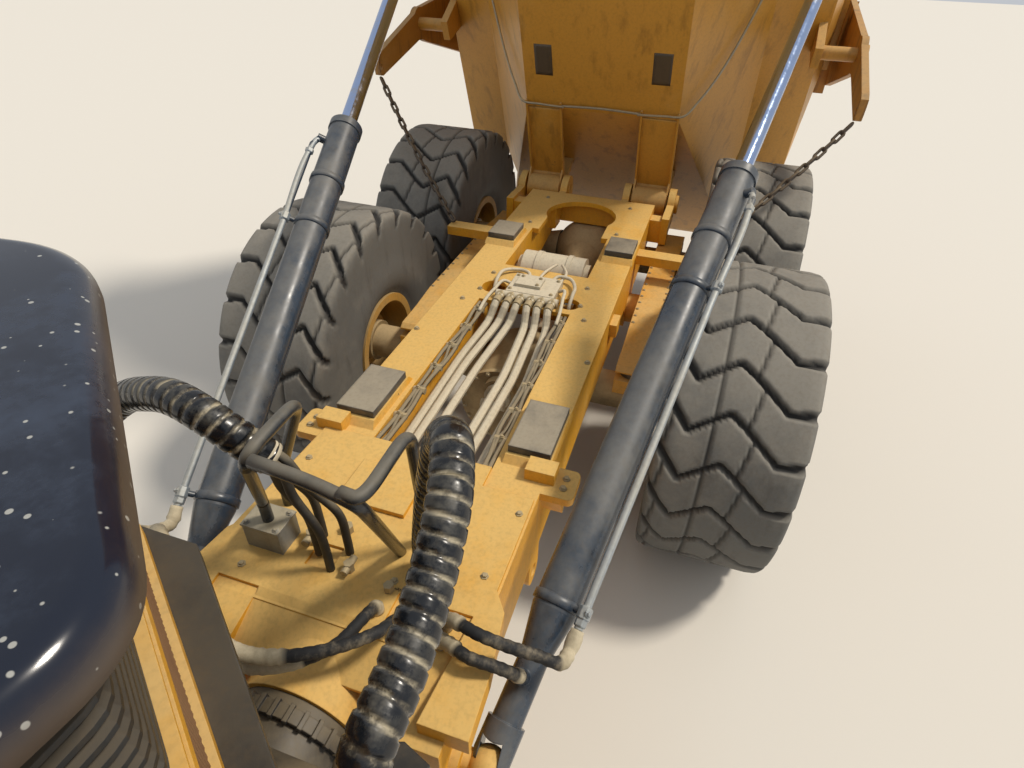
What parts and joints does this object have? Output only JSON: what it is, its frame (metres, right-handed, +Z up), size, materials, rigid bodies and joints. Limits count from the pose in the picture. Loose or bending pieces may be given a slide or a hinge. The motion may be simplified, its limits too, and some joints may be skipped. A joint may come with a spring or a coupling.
{
  "type": "articulated dump truck",
  "caption": "Articulated dump truck with a hinged frame, tipping bed on splayed hoist cylinders, chain-opened tailgate, cab and tilting hood.",
  "frame": {"origin": "on the ground under the middle of the length and width, with the bed raised as stored", "axes": "+X forward towards the cab, +Y to the truck's left, +Z up"},
  "size_m": [11.7527, 3.766, 6.1846],
  "materials": {
    "yellow_paint": "satin, dusty",
    "frame_yellow": "satin, dusty",
    "black_paint": "gloss, dusty",
    "barrel_paint": "gloss, dusty",
    "chrome_rod": "polished",
    "tyre_rubber": "matte, dusty",
    "rim_steel": "matte, dusty",
    "pad_rubber": "worn",
    "axle_casting": "matte, dusty",
    "shaft_steel": "dusty",
    "tank_steel": "dusty",
    "hose_rubber": "matte",
    "chain_steel": "rusty",
    "gate_paint": "worn",
    "engine_iron": "matte",
    "cab_glass": "clear",
    "cab_trim": "moulded",
    "grille_black": "satin"
  },
  "bodies": {
    "rear_frame": {"rear_frame": "frame_yellow", "body_pads": "pad_rubber", "walking_beams": "frame_yellow", "bogie_axles": "axle_casting", "propshafts": "shaft_steel", "air_tank": "tank_steel", "valve_block": "tank_steel", "hose_guard": "black_paint", "gate_chains": "chain_steel", "hoist_hoses": "hose_rubber", "main_hoses": "hose_rubber"},
    "bed": {"bed_shell": "yellow_paint", "bed_brackets": "yellow_paint"},
    "tailgate": {"tailgate": "gate_paint"},
    "hitch": {"hitch": "black_paint"},
    "tractor": {"front_frame": "frame_yellow", "front_axle": "axle_casting", "engine": "engine_iron", "fenders": "black_paint", "cooling_housing": "black_paint", "cab_shell": "yellow_paint", "cab_glass": "cab_glass", "cab_interior": "cab_trim"},
    "cab_door": {"cab_door": "yellow_paint", "door_glass": "cab_glass"},
    "hood": {"hood": "yellow_paint", "front_grille": "grille_black"},
    "wheel_rear_left": {"tyre_rear_left": "tyre_rubber", "rim_rear_left": "rim_steel"},
    "wheel_rear_right": {"tyre_rear_right": "tyre_rubber", "rim_rear_right": "rim_steel"},
    "wheel_centre_left": {"tyre_centre_left": "tyre_rubber", "rim_centre_left": "rim_steel"},
    "wheel_centre_right": {"tyre_centre_right": "tyre_rubber", "rim_centre_right": "rim_steel"},
    "wheel_front_left": {"tyre_front_left": "tyre_rubber", "rim_front_left": "rim_steel"},
    "wheel_front_right": {"tyre_front_right": "tyre_rubber", "rim_front_right": "rim_steel"},
    "hoist_barrel_left": {"hoist_barrel_left": "barrel_paint"},
    "hoist_rod_left": {"hoist_rod_left": "chrome_rod"},
    "steer_barrel_left": {"steer_barrel_left": "black_paint"},
    "steer_rod_left": {"steer_rod_left": "chrome_rod"},
    "hoist_barrel_right": {"hoist_barrel_right": "barrel_paint"},
    "hoist_rod_right": {"hoist_rod_right": "chrome_rod"},
    "steer_barrel_right": {"steer_barrel_right": "black_paint"},
    "steer_rod_right": {"steer_rod_right": "chrome_rod"}
  },
  "joints": [
    {"name": "tip", "type": "hinge", "parent": "rear_frame", "child": "bed", "pos_m": [-4.0766, 0, 1.38], "axis": [0, -1, 0], "range_deg": [-67, 3], "deforming": ["gate_chains", "hoist_hoses"]},
    {"name": "gate_swing", "type": "hinge", "parent": "bed", "child": "tailgate", "pos_m": [-4.42019, 0, 2.57961], "axis": [0, 1, 0], "range_deg": [-51, 3.24]},
    {"name": "hitch_roll", "type": "hinge", "parent": "rear_frame", "child": "hitch", "pos_m": [0.7234, 0, 1.15], "axis": [1, 0, 0], "range_deg": [-20, 20]},
    {"name": "steer", "type": "hinge", "parent": "hitch", "child": "tractor", "pos_m": [1.1734, 0, 1.15], "axis": [0, 0, 1], "range_deg": [-45, 45], "deforming": ["main_hoses"]},
    {"name": "wheel_rear_left_spin", "type": "hinge", "parent": "rear_frame", "child": "wheel_rear_left", "pos_m": [-3.8596, 1.335, 0.925], "axis": [0, 1, 0], "continuous": true},
    {"name": "wheel_rear_right_spin", "type": "hinge", "parent": "rear_frame", "child": "wheel_rear_right", "pos_m": [-3.8596, -1.335, 0.925], "axis": [0, 1, 0], "continuous": true},
    {"name": "wheel_centre_left_spin", "type": "hinge", "parent": "rear_frame", "child": "wheel_centre_left", "pos_m": [-1.8936, 1.335, 0.925], "axis": [0, 1, 0], "continuous": true},
    {"name": "wheel_centre_right_spin", "type": "hinge", "parent": "rear_frame", "child": "wheel_centre_right", "pos_m": [-1.8936, -1.335, 0.925], "axis": [0, 1, 0], "continuous": true},
    {"name": "wheel_front_left_spin", "type": "hinge", "parent": "tractor", "child": "wheel_front_left", "pos_m": [2.6964, 1.335, 0.925], "axis": [0, 1, 0], "continuous": true},
    {"name": "wheel_front_right_spin", "type": "hinge", "parent": "tractor", "child": "wheel_front_right", "pos_m": [2.6964, -1.335, 0.925], "axis": [0, 1, 0], "continuous": true},
    {"name": "hoist_left_swing", "type": "hinge", "parent": "rear_frame", "child": "hoist_barrel_left", "pos_m": [0.5734, 0.663, 1.13], "axis": [0.1074, 0.5933, 0.7978], "range_deg": [-10.2, 1.41]},
    {"name": "hoist_left_slide", "type": "slide", "parent": "hoist_barrel_left", "child": "hoist_rod_left", "axis": [-0.8762, 0.1545, 0.4565], "range_m": [-2.3339, 0.1141]},
    {"name": "hoist_right_swing", "type": "hinge", "parent": "rear_frame", "child": "hoist_barrel_right", "pos_m": [0.5734, -0.663, 1.13], "axis": [-0.1074, 0.5933, -0.7978], "range_deg": [-10.2, 1.41]},
    {"name": "hoist_right_slide", "type": "slide", "parent": "hoist_barrel_right", "child": "hoist_rod_right", "axis": [-0.8762, -0.1545, 0.4565], "range_m": [-2.3339, 0.1141]},
    {"name": "steer_left_swing", "type": "hinge", "parent": "tractor", "child": "steer_barrel_left", "pos_m": [2.2734, 0.74, 1.03], "axis": [0, 0, 1], "range_deg": [-5.67, 5.67]},
    {"name": "steer_left_slide", "type": "slide", "parent": "steer_barrel_left", "child": "steer_rod_left", "axis": [-0.9749, -0.2228, 0], "range_m": [-0.3532, 0.3532]},
    {"name": "steer_right_swing", "type": "hinge", "parent": "tractor", "child": "steer_barrel_right", "pos_m": [2.2734, -0.74, 1.03], "axis": [0, 0, 1], "range_deg": [-5.67, 5.67]},
    {"name": "steer_right_slide", "type": "slide", "parent": "steer_barrel_right", "child": "steer_rod_right", "axis": [-0.9749, 0.2228, 0], "range_m": [-0.3532, 0.3532]},
    {"name": "door_swing", "type": "hinge", "parent": "tractor", "child": "cab_door", "pos_m": [1.8434, 0.822, 2.5], "axis": [0, 0, 1], "range_deg": [0, 75]},
    {"name": "hood_tilt", "type": "hinge", "parent": "tractor", "child": "hood", "pos_m": [5.3934, 0, 1.42], "axis": [0, 1, 0], "range_deg": [0, 65]}
  ],
  "couplings": [
    {"joint": "gate_swing", "follows": "tip", "ratio": 0.74627},
    {"joint": "hoist_left_swing", "follows": "tip", "ratio": 0.13724},
    {"joint": "hoist_left_slide", "follows": "tip", "m_per_rad": 1.9873},
    {"joint": "hoist_right_swing", "follows": "tip", "ratio": 0.13724},
    {"joint": "hoist_right_slide", "follows": "tip", "m_per_rad": 1.9873},
    {"joint": "steer_left_swing", "follows": "steer", "ratio": -0.10378},
    {"joint": "steer_left_slide", "follows": "steer", "m_per_rad": -0.44328},
    {"joint": "steer_right_swing", "follows": "steer", "ratio": -0.10378},
    {"joint": "steer_right_slide", "follows": "steer", "m_per_rad": 0.44328}
  ]
}
